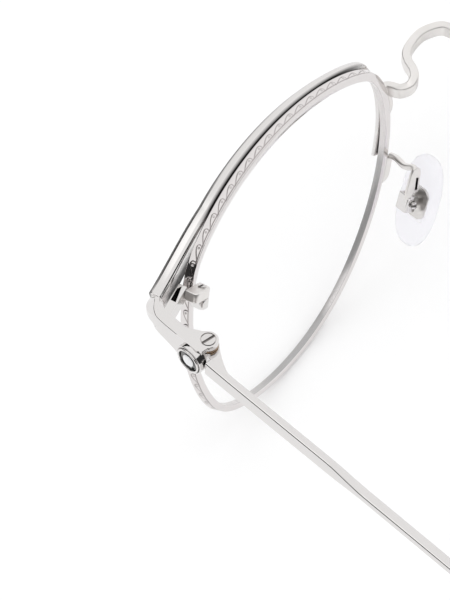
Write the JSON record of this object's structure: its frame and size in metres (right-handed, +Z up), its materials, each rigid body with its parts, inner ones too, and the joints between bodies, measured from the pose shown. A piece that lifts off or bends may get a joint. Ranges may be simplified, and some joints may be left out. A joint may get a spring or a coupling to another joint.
{
  "type": "spectacles",
  "caption": "Full-rim metal spectacles with clear lenses in engraved rims, polished brow bars, a wire bridge, rocking nose pads and folding temples with sleeved tips.",
  "frame": {"origin": "on the table that the rims and the temple tips stand on, under the middle of the open pair's box", "axes": "+Z up, +Y from the lenses back along the temples, +X to the wearer's left"},
  "size_m": [0.1374, 0.154, 0.0454],
  "materials": {
    "polished_metal": "mirror-polished silver-grey metal",
    "engraved_metal": "polished silver-grey metal with scrollwork engraved round the outer face",
    "screw_steel": "plain turned steel",
    "bronze": "plain bearing bronze",
    "clear_lens": "clear, coated",
    "silicone": "translucent, smooth",
    "dark_enamel": "gloss enamel",
    "pale_enamel": "gloss enamel",
    "tip_acetate": "polished acetate"
  },
  "bodies": {
    "front": {"bridge": "polished_metal", "left_rim": "engraved_metal", "left_lens": "clear_lens", "left_brow_bar": "polished_metal", "left_rim_lock_upper": "polished_metal", "left_rim_lock_lower": "polished_metal", "left_rim_lock_screw": "screw_steel", "left_endpiece": "polished_metal", "left_pad_arm": "polished_metal", "left_medallion_bezel": "polished_metal", "left_medallion_enamel": "dark_enamel", "left_medallion_cabochon": "pale_enamel", "left_hinge_screw": "screw_steel", "left_hinge_washer_upper": "bronze", "left_hinge_washer_lower": "bronze", "left_pad_box": "polished_metal", "left_pad_screw": "screw_steel", "right_rim": "engraved_metal", "right_lens": "clear_lens", "right_brow_bar": "polished_metal", "right_rim_lock_upper": "polished_metal", "right_rim_lock_lower": "polished_metal", "right_rim_lock_screw": "screw_steel", "right_endpiece": "polished_metal", "right_pad_arm": "polished_metal", "right_medallion_bezel": "polished_metal", "right_medallion_enamel": "dark_enamel", "right_medallion_cabochon": "pale_enamel", "right_hinge_screw": "screw_steel", "right_hinge_washer_upper": "bronze", "right_hinge_washer_lower": "bronze", "right_pad_box": "polished_metal", "right_pad_screw": "screw_steel"},
    "left_temple_arm": {"left_temple": "polished_metal", "left_temple_tip": "tip_acetate"},
    "right_temple_arm": {"right_temple": "polished_metal", "right_temple_tip": "tip_acetate"},
    "left_pad": {"left_nose_pad": "silicone", "left_pad_core": "polished_metal"},
    "right_pad": {"right_nose_pad": "silicone", "right_pad_core": "polished_metal"}
  },
  "joints": [
    {"name": "left_temple_fold", "type": "hinge", "parent": "front", "child": "left_temple_arm", "pos_m": [0.065, -0.056, 0.03546], "axis": [0, 0, 1], "range_deg": [0, 91.5]},
    {"name": "right_temple_fold", "type": "hinge", "parent": "front", "child": "right_temple_arm", "pos_m": [-0.065, -0.056, 0.03546], "axis": [0, 0, -1], "range_deg": [0, 88.5]},
    {"name": "left_pad_rock", "type": "hinge", "parent": "front", "child": "left_pad", "pos_m": [0.01293, -0.06461, 0.01655], "axis": [0.1443, 0.9613, 0.2346], "range_deg": [-10, 10]},
    {"name": "right_pad_rock", "type": "hinge", "parent": "front", "child": "right_pad", "pos_m": [-0.01293, -0.06461, 0.01655], "axis": [0.1443, -0.9613, -0.2346], "range_deg": [-10, 10]}
  ]
}
